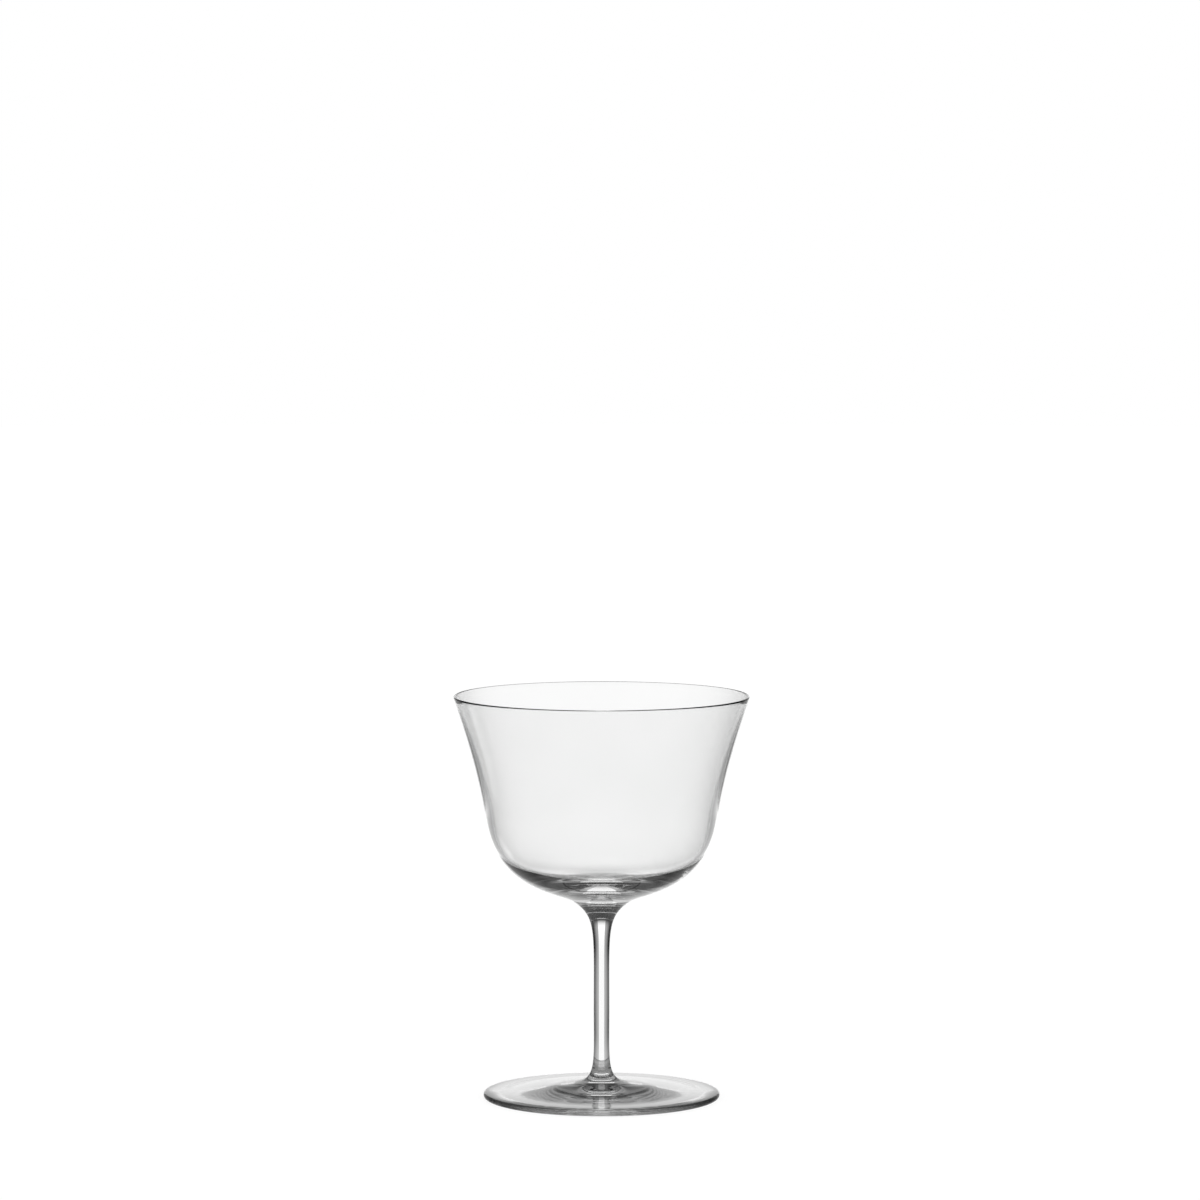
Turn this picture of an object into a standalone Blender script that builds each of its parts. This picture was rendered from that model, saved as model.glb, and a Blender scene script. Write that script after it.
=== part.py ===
"""Champagne glass: a bowl, a drawn stem and a foot, turned round one axis and joined while the glass is hot.

Metres and degrees, +Z up. The foot stands on Z = 0 and the axis of the glass is the Z axis.
Run with: blender --background --python part.py
"""

import math

import bmesh
import bpy
from mathutils import Vector

# Foot
FOOT_DIAMETER = 0.0762
FOOT_EDGE = 0.0018  # thickness of the half-round edge
FOOT_EDGE_SLOPE = 5.2  # fall of the upper side at the edge
FOOT_HEIGHT = 0.0067  # from the table to the joint with the stem
CROWN_DIAMETER = 0.0256  # where the sweep down from the stem turns into the low cone of the foot
CROWN_HEIGHT = 0.00431  # of that place above the table
CROWN_SLOPE = 9.3  # fall of the upper side there
BRIM_DIAMETER = 0.0456  # where that cone turns into the flatter brim
BRIM_HEIGHT = 0.00268
BRIM_SLOPE = 5.4
FOOT_HOLLOW = 0.0011  # rise of the underside at the axis
HOLLOW_SLOPE = 2.6  # rise of the underside beside the ring that stands on the table
RESTING_RING = 0.0045  # width of that flat ring

# Stem
STEM_LENGTH = 0.05646  # from the joint with the foot to the joint with the bowl
STEM_DIAMETER = 0.00505  # where the rod is thinnest
STEM_WAIST = 0.0213  # height of that place above the lower end
COLLAR_DIAMETER = 0.0090  # lower end, on the foot
COLLAR_SLOPE = 44.0  # of the lower end, from level, where the foot goes on
HEAD_DIAMETER = 0.0186  # upper end, under the bowl
HEAD_SLOPE = 35.3  # of the upper end, from level

# Bowl
BOWL_HEIGHT = 0.06624  # from the joint with the stem to the top of the lip
RIM_DIAMETER = 0.0950
RIM_LEAN = 18.7  # outward lean of the wall at the lip, from upright
RIM_WALL = 0.0010
SHOULDER_DIAMETER = 0.0745  # where the flared side turns into the rounded base
SHOULDER_HEIGHT = 0.0273  # above the joint with the stem
SHOULDER_LEAN = 8.7
SHOULDER_WALL = 0.0018
BASE_SLOPE = 26.7  # rise of the outside of the base beside the stem, from level
BOWL_FLOOR = 0.0055  # thickness of the glass on the axis

# Joints between the pieces
JOINT_GAP = 0.0003

# How far each curve's handles reach, as shares of the straight line between its ends
FLARE_REACH = (0.35, 0.31)  # lip to shoulder
BASE_REACH = (0.584, 0.21)  # shoulder to stem, outside
HOLLOW_REACH = (0.39, 0.63)  # shoulder to axis, inside
HEAD_REACH = (0.26, 0.75)  # bowl to waist of the stem
COLLAR_REACH = (0.56, 0.16)  # waist of the stem to foot
SWEEP_REACH = (0.24, 0.52)  # stem to crown of the foot
CROWN_REACH = (0.35, 0.62)  # crown to brim of the foot
BRIM_REACH = (0.60, 0.45)  # brim to edge of the foot
UNDERSIDE_REACH = (0.05, 0.30)  # resting ring to axis

# Fineness of the meshes
TURN_STEPS = 64
CURVE_STEPS = 9
EDGE_STEPS = 8

# Clear crystal
GLASS_COLOUR = (0.93, 0.94, 0.94, 1.0)
GLASS_ROUGHNESS = 0.02
GLASS_IOR = 1.52


def towards(degrees):
    """Unit direction in the (radius, height) plane, counted from straight out and up."""
    angle = math.radians(degrees)
    return Vector((math.cos(angle), math.sin(angle)))


def curve(start, start_heading, end, end_heading, reach, steps=CURVE_STEPS):
    """Points after start on a cubic curve that leaves and arrives along the two headings."""
    span = (end - start).length
    first = start + towards(start_heading) * span * reach[0]
    second = end - towards(end_heading) * span * reach[1]
    points = []
    for step in range(1, steps + 1):
        t = step / steps
        u = 1 - t
        points.append(u**3 * start + 3 * u * u * t * first + 3 * u * t * t * second + t**3 * end)
    return points


def arc(centre, radius, start_angle, end_angle, steps=EDGE_STEPS):
    """Points on an arc, both ends included."""
    points = []
    for step in range(steps + 1):
        angle = start_angle + (end_angle - start_angle) * step / steps
        points.append(centre + towards(angle) * radius)
    return points


def turned(name, outline, height, material, parent):
    """One piece turned round the Z axis from an outline that starts and ends on the axis."""
    mesh = bpy.data.meshes.new(name)
    shape = bmesh.new()
    corners = [shape.verts.new((point.x, 0.0, point.y)) for point in outline]
    sides = [shape.edges.new(pair) for pair in zip(corners, corners[1:])]
    bmesh.ops.spin(
        shape,
        geom=corners + sides,
        cent=(0.0, 0.0, 0.0),
        axis=(0.0, 0.0, 1.0),
        angle=2 * math.pi,
        steps=TURN_STEPS,
    )
    bmesh.ops.remove_doubles(shape, verts=shape.verts, dist=1e-6)
    bmesh.ops.recalc_face_normals(shape, faces=shape.faces)
    shape.to_mesh(mesh)
    shape.free()
    mesh.shade_smooth()
    mesh.set_sharp_from_angle(angle=math.radians(35))
    mesh.materials.append(material)
    piece = bpy.data.objects.new(name, mesh)
    piece.location.z = height
    piece.parent = parent
    bpy.context.scene.collection.objects.link(piece)
    return piece


def crystal(name):
    """Clear glass."""
    material = bpy.data.materials.new(name)
    material.use_nodes = True
    shader = material.node_tree.nodes["Principled BSDF"]
    shader.inputs["Base Color"].default_value = GLASS_COLOUR
    shader.inputs["Roughness"].default_value = GLASS_ROUGHNESS
    shader.inputs["Metallic"].default_value = 0.0
    shader.inputs["IOR"].default_value = GLASS_IOR
    shader.inputs["Transmission Weight"].default_value = 1.0
    return material


def foot_outline():
    """From the axis at the top, over the edge and under to the axis again."""
    edge = FOOT_EDGE / 2
    edge_centre = Vector((FOOT_DIAMETER / 2 - edge, edge))
    collar = Vector((COLLAR_DIAMETER / 2, FOOT_HEIGHT))
    crown = Vector((CROWN_DIAMETER / 2, CROWN_HEIGHT))
    brim = Vector((BRIM_DIAMETER / 2, BRIM_HEIGHT))
    edge_arc = arc(edge_centre, edge, 90 - FOOT_EDGE_SLOPE, -90)
    ring_inside = Vector((edge_centre.x - RESTING_RING, 0.0))
    hollow = Vector((0.0, FOOT_HOLLOW))
    outline = [Vector((0.0, FOOT_HEIGHT)), collar]
    outline += curve(collar, -COLLAR_SLOPE, crown, -CROWN_SLOPE, SWEEP_REACH)
    outline += curve(crown, -CROWN_SLOPE, brim, -BRIM_SLOPE, CROWN_REACH)
    outline += curve(brim, -BRIM_SLOPE, edge_arc[0], -FOOT_EDGE_SLOPE, BRIM_REACH)
    outline += edge_arc[1:]
    outline.append(ring_inside)
    outline += curve(ring_inside, 180 - HOLLOW_SLOPE, hollow, 180, UNDERSIDE_REACH)
    return outline


def stem_outline():
    """From the axis at the top, down the head and the rod to the collar and the axis again."""
    head = Vector((HEAD_DIAMETER / 2, STEM_LENGTH))
    waist = Vector((STEM_DIAMETER / 2, STEM_WAIST))
    collar = Vector((COLLAR_DIAMETER / 2, 0.0))
    outline = [Vector((0.0, STEM_LENGTH)), head]
    outline += curve(head, 180 + HEAD_SLOPE, waist, 270, HEAD_REACH)
    outline += curve(waist, 270, collar, 360 - COLLAR_SLOPE, COLLAR_REACH)
    outline.append(Vector((0.0, 0.0)))
    return outline


def bowl_outline():
    """From the axis inside, up the inner wall, over the lip and down the outside to the seat on the stem."""
    lip = RIM_WALL / 2
    lip_centre = Vector((RIM_DIAMETER / 2 - lip, BOWL_HEIGHT - lip))
    lip_arc = arc(lip_centre, lip, 180 - RIM_LEAN, -RIM_LEAN)
    shoulder = Vector((SHOULDER_DIAMETER / 2, SHOULDER_HEIGHT))
    inner_shoulder = shoulder + towards(180 - SHOULDER_LEAN) * SHOULDER_WALL
    floor = Vector((0.0, BOWL_FLOOR))
    seat = Vector((HEAD_DIAMETER / 2, 0.0))
    up_shoulder = 90 - SHOULDER_LEAN
    up_rim = 90 - RIM_LEAN
    outline = [floor]
    outline += curve(floor, 0, inner_shoulder, up_shoulder, HOLLOW_REACH[::-1])
    outline += curve(inner_shoulder, up_shoulder, lip_arc[0], up_rim, FLARE_REACH[::-1])
    outline += lip_arc[1:]
    outline += curve(lip_arc[-1], 180 + up_rim, shoulder, 180 + up_shoulder, FLARE_REACH)
    outline += curve(shoulder, 180 + up_shoulder, seat, 180 + BASE_SLOPE, BASE_REACH)
    outline.append(Vector((0.0, 0.0)))
    return outline


def main():
    for old in list(bpy.data.objects):
        bpy.data.objects.remove(old, do_unlink=True)
    glass = bpy.data.objects.new("champagne_glass", None)
    bpy.context.scene.collection.objects.link(glass)
    stem_height = FOOT_HEIGHT + JOINT_GAP
    bowl_height = stem_height + STEM_LENGTH + JOINT_GAP
    turned("foot", foot_outline(), 0.0, crystal("foot_crystal"), glass)
    turned("stem", stem_outline(), stem_height, crystal("stem_crystal"), glass)
    turned("bowl", bowl_outline(), bowl_height, crystal("bowl_crystal"), glass)


main()
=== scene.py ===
"""The looks of a clear champagne glass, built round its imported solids: bowl, stem and foot in drawn crystal.

Metres and degrees, +Z up. The glass stands on Z = 0 and turns about the Z axis.
"""

import math

import bpy
import numpy as np
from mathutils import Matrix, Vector


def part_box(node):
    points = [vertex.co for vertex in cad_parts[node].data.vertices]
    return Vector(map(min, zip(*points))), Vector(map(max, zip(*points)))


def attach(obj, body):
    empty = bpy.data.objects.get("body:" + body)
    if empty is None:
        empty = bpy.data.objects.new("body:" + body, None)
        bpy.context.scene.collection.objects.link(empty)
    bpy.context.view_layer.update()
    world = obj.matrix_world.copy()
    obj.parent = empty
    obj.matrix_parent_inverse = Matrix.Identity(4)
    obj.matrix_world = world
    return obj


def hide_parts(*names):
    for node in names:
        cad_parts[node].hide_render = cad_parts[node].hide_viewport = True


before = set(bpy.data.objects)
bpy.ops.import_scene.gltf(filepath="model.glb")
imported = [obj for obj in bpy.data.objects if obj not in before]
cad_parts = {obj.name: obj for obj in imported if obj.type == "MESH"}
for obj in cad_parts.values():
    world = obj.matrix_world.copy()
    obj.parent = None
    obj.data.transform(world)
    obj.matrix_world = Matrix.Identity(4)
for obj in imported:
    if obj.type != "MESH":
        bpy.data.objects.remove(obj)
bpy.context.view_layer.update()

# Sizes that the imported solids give
FOOT_LOW, FOOT_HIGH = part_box("foot")
STEM_LOW, STEM_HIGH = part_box("stem")
BOWL_LOW, BOWL_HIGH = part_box("bowl")
FOOT_RADIUS = FOOT_HIGH.x
FOOT_TOP = FOOT_HIGH.z
HEAD_RADIUS = STEM_HIGH.x
BOWL_BASE = BOWL_LOW.z
BOWL_TOP = BOWL_HIGH.z
RIM_RADIUS = BOWL_HIGH.x

# Foot
FOOT_EDGE = 0.0018
FOOT_EDGE_SLOPE = 5.2
CROWN_RADIUS = 0.0128
CROWN_HEIGHT = 0.00431
CROWN_SLOPE = 9.3
BRIM_RADIUS = 0.0228
BRIM_HEIGHT = 0.00268
BRIM_SLOPE = 5.4
FOOT_HOLLOW = 0.0011
HOLLOW_SLOPE = 2.6
RESTING_RING = 0.0045
SWEEP_REACH = (0.24, 0.52)
CROWN_REACH = (0.35, 0.62)
BRIM_REACH = (0.60, 0.45)
UNDERSIDE_REACH = (0.05, 0.30)

# Stem
STEM_RADIUS = 0.002525
STEM_WAIST = STEM_LOW.z + 0.0213
COLLAR_RADIUS = 0.0045
COLLAR_SLOPE = 44.0
HEAD_SLOPE = 35.3
HEAD_REACH = (0.26, 0.75)
COLLAR_REACH = (0.56, 0.16)
MELT_CLEAR = 0.00005  # the ends keep this far from the faces that they melt into
STEM_TOP = BOWL_BASE - MELT_CLEAR
STEM_BASE = FOOT_TOP + MELT_CLEAR

# Bowl
RIM_LEAN = 18.7
RIM_WALL = 0.0008
SHOULDER_RADIUS = 0.03725
SHOULDER_TOP = BOWL_BASE + 0.0273
SHOULDER_LEAN = 8.7
SHOULDER_WALL = 0.0018
BASE_SLOPE = 26.7
FLOOR_TOP = BOWL_BASE + 0.0055
FLARE_REACH = (0.35, 0.31)
BASE_REACH = (0.584, 0.21)
HOLLOW_REACH = (0.39, 0.63)

# Fineness of the meshes
TURN_STEPS = 192
CURVE_STEPS = 28
EDGE_STEPS = 14
SHARP_ANGLE = 15.0
ON_AXIS = 1e-9  # a corner nearer to the axis than this is one point
DISC_SIDES = 64

# Crystal
CRYSTAL_IOR = 1.52
CRYSTAL_SHADE = (0.980, 0.983, 0.981)
CRYSTAL_ROUGHNESS = (0.0, 0.03)
GRAINS = {  # size of the unevenness along X, Y and Z, and its height
    "bowl": ((0.018, 0.018, 0.030), 0.000005),
    "stem": ((0.0020, 0.0020, 0.030), 0.0000003),
    "foot": ((0.007, 0.007, 0.007), 0.000006),
}
GRAIN_DETAIL = 2.0
TINT_TURN = (0.3, 0.7)  # of the unevenness, from the shaded tint to clear
POLISH_TURN = (0.4, 0.8)  # of the unevenness, from the first roughness to the second
GLASS_BOUNCES = 32  # light turns back many times inside the stem and the foot

# Camera
IMAGE_SIZE = 1200
SENSOR_WIDTH = 36.0
FOCAL_PIXELS = 5951.7
CAMERA_PLACE = (-0.0005, -1.89907, 0.32004)
CAMERA_PITCH = 4.795

# Room that the glass shows: brightness, and edges as azimuth from the backdrop's middle or elevation
BACKDROP = 1.05
BACKDROP_LOW = 0.18
BACKDROP_HIGH = 1.19
BACKDROP_EDGE = (13.5, 14.5)
BACKDROP_WING = 0.37  # share that is left beside that edge
BACKDROP_END = 47.5
BACKDROP_TOP = (4.5, 26.6)
BACKDROP_LOW_TURN = (-60, -14)
BACKDROP_HIGH_TURN = (-8, 5)
TABLE_AHEAD = 0.30
TABLE_BESIDE = 0.14
TABLE_BELOW = 0.95
TABLE_SIDE_TURN = (40, 100)
TABLE_BELOW_TURN = (-70, -45)
SIDES = 0.0
SIDES_TURN = -8.4
SIDES_SOFT = 4
CEILING = 0.05
SIDE_PANEL = 0.85
# Opposite the views 45,25, 225,15 and 90,3: azimuth and elevation of the middle, then half sizes
SIDE_PANELS = (((45, -25), (6.5, 6)), ((-135, -15), (7, 6)), ((90, -3), (7, 6)))
SIDE_PANEL_SOFT = (5, 4)

# Floor
FLOOR_RADIUS = 4.0
FLOOR_DROP = 0.0002
FLOOR_GLOW = 0.86
FLOOR_COLOUR = 0.16
# Painted shade: a dimly glowing disc under the foot that only the glass sees, darker in the middle and darkest
# under the edge
SHADE_RADIUS = 0.0395
SHADE_DROP = 0.0001
PAINTED_SHADE_GLOW = (0.24, 0.42)  # painted shade, in the middle and under the brim
SHADE_TURN = (0.014, 0.030)  # from the axis, where the one goes over into the other
PAINTED_CONTACT_SHADOW = 0.06  # painted contact shadow, under the edge where the foot touches the table
PAINTED_CONTACT_SHADOW_TURN = (0.0345, 0.0370)


def towards(degrees):
    """Unit direction in the (radius, height) plane, counted from straight out and up."""
    angle = math.radians(degrees)
    return Vector((math.cos(angle), math.sin(angle)))


def curve(start, start_heading, end, end_heading, reach, steps=CURVE_STEPS):
    """Points after start on a cubic curve that leaves and arrives along the two headings."""
    span = (end - start).length
    first = start + towards(start_heading) * span * reach[0]
    second = end - towards(end_heading) * span * reach[1]
    points = []
    for step in range(1, steps + 1):
        t = step / steps
        u = 1 - t
        points.append(u**3 * start + 3 * u * u * t * first + 3 * u * t * t * second + t**3 * end)
    return points


def arc(centre, radius, start_angle, end_angle, steps=EDGE_STEPS):
    """Points on an arc, both ends included."""
    points = []
    for step in range(steps + 1):
        angle = start_angle + (end_angle - start_angle) * step / steps
        points.append(centre + towards(angle) * radius)
    return points


def foot_outline():
    """From the axis under the stem, over the edge and under to the axis again."""
    edge = FOOT_EDGE / 2
    edge_centre = Vector((FOOT_RADIUS - edge, edge))
    collar = Vector((COLLAR_RADIUS, FOOT_TOP))
    edge_arc = arc(edge_centre, edge, 90 - FOOT_EDGE_SLOPE, -90)
    crown = Vector((CROWN_RADIUS, CROWN_HEIGHT))
    brim = Vector((BRIM_RADIUS, BRIM_HEIGHT))
    ring_inside = Vector((edge_centre.x - RESTING_RING, 0.0))
    hollow = Vector((0.0, FOOT_HOLLOW))
    outline = [Vector((0.0, FOOT_TOP)), collar]
    outline += curve(collar, -COLLAR_SLOPE, crown, -CROWN_SLOPE, SWEEP_REACH)
    outline += curve(crown, -CROWN_SLOPE, brim, -BRIM_SLOPE, CROWN_REACH)
    outline += curve(brim, -BRIM_SLOPE, edge_arc[0], -FOOT_EDGE_SLOPE, BRIM_REACH)
    outline += edge_arc[1:]
    outline.append(ring_inside)
    outline += curve(ring_inside, 180 - HOLLOW_SLOPE, hollow, 180, UNDERSIDE_REACH)
    return outline


def stem_outline():
    """From the axis under the bowl, down the head and the rod to the axis on the foot."""
    head = Vector((HEAD_RADIUS, STEM_TOP))
    waist = Vector((STEM_RADIUS, STEM_WAIST))
    collar = Vector((COLLAR_RADIUS, STEM_BASE))
    outline = [Vector((0.0, STEM_TOP)), head]
    outline += curve(head, 180 + HEAD_SLOPE, waist, 270, HEAD_REACH)
    outline += curve(waist, 270, collar, 360 - COLLAR_SLOPE, COLLAR_REACH)
    outline.append(Vector((0.0, STEM_BASE)))
    return outline


def bowl_outline():
    """From the axis inside, up the inner wall, over the lip and down the outside to the axis on the stem."""
    lip = RIM_WALL / 2
    lip_centre = Vector((RIM_RADIUS - lip, BOWL_TOP - lip))
    lip_arc = arc(lip_centre, lip, 180 - RIM_LEAN, -RIM_LEAN)
    shoulder = Vector((SHOULDER_RADIUS, SHOULDER_TOP))
    inner_shoulder = shoulder + towards(180 - SHOULDER_LEAN) * SHOULDER_WALL
    floor = Vector((0.0, FLOOR_TOP))
    seat = Vector((HEAD_RADIUS, BOWL_BASE))
    up_shoulder = 90 - SHOULDER_LEAN
    up_rim = 90 - RIM_LEAN
    outline = [floor]
    outline += curve(floor, 0, inner_shoulder, up_shoulder, HOLLOW_REACH[::-1])
    outline += curve(inner_shoulder, up_shoulder, lip_arc[0], up_rim, FLARE_REACH[::-1])
    outline += lip_arc[1:]
    outline += curve(lip_arc[-1], 180 + up_rim, shoulder, 180 + up_shoulder, FLARE_REACH)
    outline += curve(shoulder, 180 + up_shoulder, seat, 180 + BASE_SLOPE, BASE_REACH)
    outline.append(Vector((0.0, BOWL_BASE)))
    return outline


def turned(name, outline, material, welds=()):
    """A piece turned round the Z axis from an outline, with the glass on the right of the way it runs.

    The stretches of the outline that welds lists melt into the next piece, and take the clear weld instead.
    """
    angles = np.arange(TURN_STEPS) * 2 * math.pi / TURN_STEPS
    points = []
    rings = []
    for corner in outline:
        first = len(points)
        if corner.x < ON_AXIS:
            points.append((0.0, 0.0, corner.y))
            rings.append([first] * TURN_STEPS)
            continue
        points += [(corner.x * math.cos(a), corner.x * math.sin(a), corner.y) for a in angles]
        rings.append(list(range(first, first + TURN_STEPS)))
    faces = []
    for upper, lower in zip(rings, rings[1:]):
        for step in range(TURN_STEPS):
            following = (step + 1) % TURN_STEPS
            corners = [upper[step], lower[step], lower[following], upper[following]]
            faces.append(list(dict.fromkeys(corners)))
    mesh = bpy.data.meshes.new(name)
    mesh.from_pydata(points, [], faces)
    mesh.shade_smooth()
    mesh.set_sharp_from_angle(angle=math.radians(SHARP_ANGLE))
    mesh.materials.append(material)
    if welds:
        mesh.materials.append(weld())
    for stretch in welds:
        first = stretch % (len(rings) - 1) * TURN_STEPS
        for face in mesh.polygons[first : first + TURN_STEPS]:
            face.material_index = 1
    piece = bpy.data.objects.new(name, mesh)
    bpy.context.scene.collection.objects.link(piece)
    return piece


class Field:
    """A number that varies over a node tree, with arithmetic that adds Math nodes."""

    def __init__(self, tree, socket):
        self.tree = tree
        self.socket = socket

    def made(self, operation, *others):
        node = self.tree.nodes.new("ShaderNodeMath")
        node.operation = operation
        for entry, value in zip(node.inputs, (self, *others)):
            if isinstance(value, Field):
                self.tree.links.new(value.socket, entry)
            else:
                entry.default_value = value
        return Field(self.tree, node.outputs[0])

    def __add__(self, other):
        return self.made("ADD", other)

    def __sub__(self, other):
        return self.made("SUBTRACT", other)

    def __mul__(self, other):
        return self.made("MULTIPLY", other)

    def most(self, other):
        return self.made("MAXIMUM", other)

    def towards(self, other, share):
        """This number moved a share of the way to the other."""
        if isinstance(other, Field):
            return self + (other - self) * share
        return self + (self * -1.0 + other) * share

    def size(self):
        return self.made("ABSOLUTE")

    def wrapped(self, low, high):
        return self.made("WRAP", high, low)

    def ramp(self, start, end, before=0.0, after=1.0):
        """Goes smoothly from one value to another while this number goes from start to end."""
        node = self.tree.nodes.new("ShaderNodeMapRange")
        node.interpolation_type = "SMOOTHSTEP"
        self.tree.links.new(self.socket, node.inputs["Value"])
        node.inputs["From Min"].default_value = start
        node.inputs["From Max"].default_value = end
        node.inputs["To Min"].default_value = before
        node.inputs["To Max"].default_value = after
        return Field(self.tree, node.outputs["Result"])


def panel(azimuth, elevation, middle, half_size, soft):
    """A soft-edged lit panel that stands round the glass, from 0 outside it to 1 on it."""
    across = (azimuth - middle[0]).wrapped(-180, 180).size()
    along = (elevation - middle[1]).size()
    sides = across.ramp(half_size[0] - soft[0], half_size[0] + soft[0], 1, 0)
    ends = along.ramp(half_size[1] - soft[1], half_size[1] + soft[1], 1, 0)
    return sides * ends


def studio():
    """A white room for the camera and the floor; the glass sees a backdrop, panels, a table and a ceiling."""
    world = bpy.data.worlds.new("studio")
    bpy.context.scene.world = world
    world.use_nodes = True
    world.cycles.sampling_method = "NONE"
    tree = world.node_tree
    background = tree.nodes["Background"]
    place = tree.nodes.new("ShaderNodeTexCoord")
    split = tree.nodes.new("ShaderNodeSeparateXYZ")
    tree.links.new(place.outputs["Generated"], split.inputs[0])
    x = Field(tree, split.outputs["X"])
    y = Field(tree, split.outputs["Y"])
    z = Field(tree, split.outputs["Z"])
    degree = 180 / math.pi
    azimuth = (x * -1.0).made("ARCTAN2", y) * degree
    elevation = z.made("ARCSINE") * degree
    aside = azimuth.size()

    table = aside.ramp(*TABLE_SIDE_TURN, TABLE_AHEAD, TABLE_BESIDE)
    table = table.towards(TABLE_BELOW, elevation.ramp(*TABLE_BELOW_TURN, 1, 0))
    beside = table.towards(SIDES, elevation.ramp(SIDES_TURN - SIDES_SOFT, SIDES_TURN + SIDES_SOFT))
    backdrop = elevation.ramp(*BACKDROP_LOW_TURN, BACKDROP_LOW, BACKDROP)
    backdrop = backdrop.towards(BACKDROP_HIGH, elevation.ramp(*BACKDROP_HIGH_TURN))
    spread = aside.ramp(*BACKDROP_EDGE, 1, BACKDROP_WING)
    spread = spread * aside.ramp(BACKDROP_EDGE[1], BACKDROP_END, 1, 0)
    round_about = beside.towards(backdrop, spread)
    seen = round_about.towards(CEILING, elevation.ramp(*BACKDROP_TOP))
    for middle, half_size in SIDE_PANELS:
        seen = seen.most(panel(azimuth, elevation, middle, half_size, SIDE_PANEL_SOFT) * SIDE_PANEL)

    paths = tree.nodes.new("ShaderNodeLightPath")
    camera = Field(tree, paths.outputs["Is Camera Ray"])
    floor = Field(tree, paths.outputs["Diffuse Depth"]).made("GREATER_THAN", 0.5)
    white = camera.most(floor)
    light = white + seen * (white * -1.0 + 1.0)
    tree.links.new(light.socket, background.inputs["Strength"])
    background.inputs["Color"].default_value = (1, 1, 1, 1)


def crystal(name, grain, ripple):
    """Clear crystal, uneven from hand work: grain is the size of that along X, Y and Z, ripple its height."""
    material = bpy.data.materials.new(name)
    material.use_nodes = True
    tree = material.node_tree
    shader = tree.nodes["Principled BSDF"]
    place = tree.nodes.new("ShaderNodeTexCoord")
    stretched = tree.nodes.new("ShaderNodeVectorMath")
    stretched.operation = "DIVIDE"
    stretched.inputs[1].default_value = grain
    tree.links.new(place.outputs["Object"], stretched.inputs[0])
    uneven = tree.nodes.new("ShaderNodeTexNoise")
    uneven.inputs["Scale"].default_value = 1.0
    uneven.inputs["Detail"].default_value = GRAIN_DETAIL
    tree.links.new(stretched.outputs[0], uneven.inputs["Vector"])
    bump = tree.nodes.new("ShaderNodeBump")
    bump.inputs["Distance"].default_value = ripple
    tree.links.new(uneven.outputs["Fac"], bump.inputs["Height"])
    tree.links.new(bump.outputs["Normal"], shader.inputs["Normal"])
    tint = tree.nodes.new("ShaderNodeValToRGB")
    tint.color_ramp.elements[0].position = TINT_TURN[0]
    tint.color_ramp.elements[0].color = (*CRYSTAL_SHADE, 1)
    tint.color_ramp.elements[1].position = TINT_TURN[1]
    tint.color_ramp.elements[1].color = (1, 1, 1, 1)
    tree.links.new(uneven.outputs["Fac"], tint.inputs["Fac"])
    tree.links.new(tint.outputs["Color"], shader.inputs["Base Color"])
    polish = Field(tree, uneven.outputs["Fac"]).ramp(*POLISH_TURN, *CRYSTAL_ROUGHNESS)
    tree.links.new(polish.socket, shader.inputs["Roughness"])
    shader.inputs["IOR"].default_value = CRYSTAL_IOR
    shader.inputs["Transmission Weight"].default_value = 1.0
    return material


def weld():
    """The melted joint between two pieces, where light goes on without bending."""
    material = bpy.data.materials.get("melted_joint")
    if material is None:
        material = bpy.data.materials.new("melted_joint")
        material.use_nodes = True
        shader = material.node_tree.nodes["Principled BSDF"]
        shader.inputs["Base Color"].default_value = (1, 1, 1, 1)
        shader.inputs["Roughness"].default_value = 0.0
        shader.inputs["IOR"].default_value = 1.0
        shader.inputs["Transmission Weight"].default_value = 1.0
    return material


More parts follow.
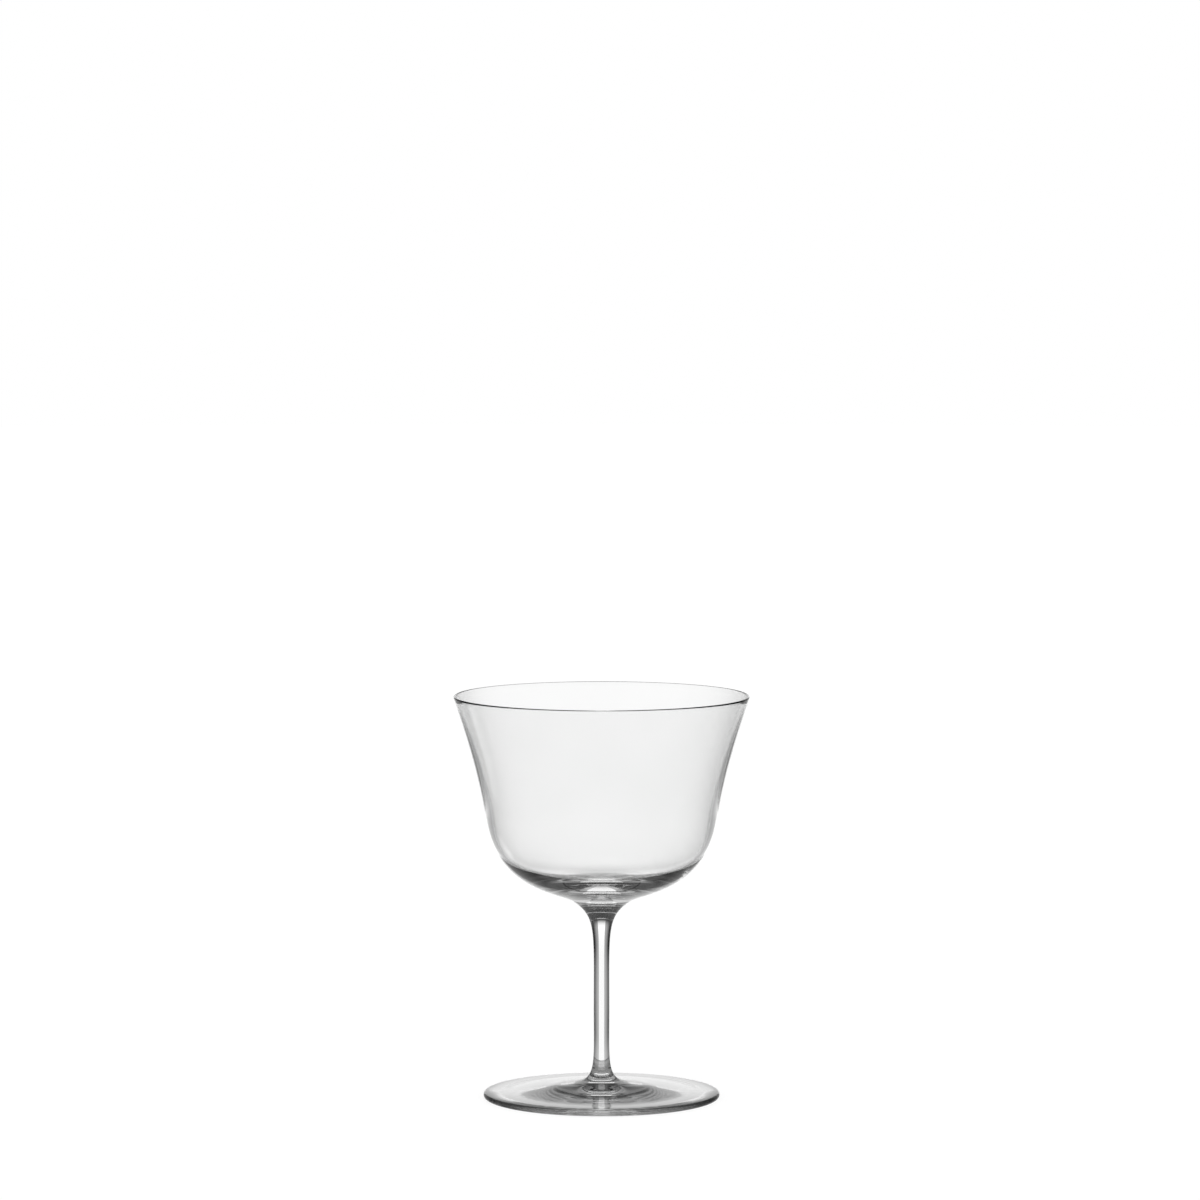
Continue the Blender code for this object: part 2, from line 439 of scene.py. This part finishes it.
def disc(name, radius, drop, glow, paint):
    """A level disc just below the glass, which glows and takes the light of the room as told."""
    angles = [2 * math.pi * side / DISC_SIDES for side in range(DISC_SIDES)]
    points = [(radius * math.cos(a), radius * math.sin(a), -drop) for a in angles]
    mesh = bpy.data.meshes.new(name)
    mesh.from_pydata(points, [], [list(range(DISC_SIDES))])
    material = bpy.data.materials.new(name)
    material.use_nodes = True
    tree = material.node_tree
    tree.nodes.clear()
    output = tree.nodes.new("ShaderNodeOutputMaterial")
    own = tree.nodes.new("ShaderNodeEmission")
    own.inputs["Strength"].default_value = glow
    surface = tree.nodes.new("ShaderNodeBsdfDiffuse")
    surface.inputs["Color"].default_value = (paint, paint, paint, 1)
    both = tree.nodes.new("ShaderNodeAddShader")
    tree.links.new(own.outputs[0], both.inputs[0])
    tree.links.new(surface.outputs[0], both.inputs[1])
    tree.links.new(both.outputs[0], output.inputs["Surface"])
    mesh.materials.append(material)
    piece = bpy.data.objects.new(name, mesh)
    piece.visible_glossy = False
    bpy.context.scene.collection.objects.link(piece)
    return piece


def table_top():
    """A pale floor that keeps the faint shadow of the glass, and the painted shade: a dim glowing disc that
    shows only through the foot.
    """
    floor = disc("floor", FLOOR_RADIUS, FLOOR_DROP, FLOOR_GLOW, FLOOR_COLOUR)
    floor.visible_transmission = False
    # painted shade under the foot, seen through the glass only
    shade = disc("painted_floor_shade", SHADE_RADIUS, SHADE_DROP, PAINTED_SHADE_GLOW[0], 0.0)
    tree = shade.active_material.node_tree
    place = tree.nodes.new("ShaderNodeTexCoord")
    length = tree.nodes.new("ShaderNodeVectorMath")
    length.operation = "LENGTH"
    tree.links.new(place.outputs["Object"], length.inputs[0])
    distance = Field(tree, length.outputs["Value"])
    glow = distance.ramp(*SHADE_TURN, *PAINTED_SHADE_GLOW)
    # painted contact shadow under the edge of the foot
    glow = glow.towards(PAINTED_CONTACT_SHADOW, distance.ramp(*PAINTED_CONTACT_SHADOW_TURN))
    tree.links.new(glow.socket, tree.nodes["Emission"].inputs["Strength"])
    shade.visible_camera = False
    shade.visible_diffuse = False
    shade.visible_shadow = False


def view():
    """A camera at the place that was fitted to the photograph."""
    data = bpy.data.cameras.new("camera")
    data.sensor_width = SENSOR_WIDTH
    data.lens = FOCAL_PIXELS / IMAGE_SIZE * SENSOR_WIDTH
    camera = bpy.data.objects.new("camera", data)
    camera.location = CAMERA_PLACE
    camera.rotation_euler = (math.radians(90 - CAMERA_PITCH), 0, 0)
    bpy.context.scene.collection.objects.link(camera)
    bpy.context.scene.camera = camera


bpy.context.scene.view_settings.view_transform = "Standard"
paths = bpy.context.scene.cycles
paths.max_bounces = GLASS_BOUNCES
paths.glossy_bounces = GLASS_BOUNCES
paths.transmission_bounces = GLASS_BOUNCES
view()
studio()
table_top()
for node, outline, welds in (
    ("bowl", bowl_outline(), [-1]),
    ("stem", stem_outline(), [0, -1]),
    ("foot", foot_outline(), [0]),
):
    glass = turned(node + "_glass", outline, crystal(node + "_crystal", *GRAINS[node]), welds)
    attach(glass, "root")
    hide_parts(node)
    node + "_crystal"
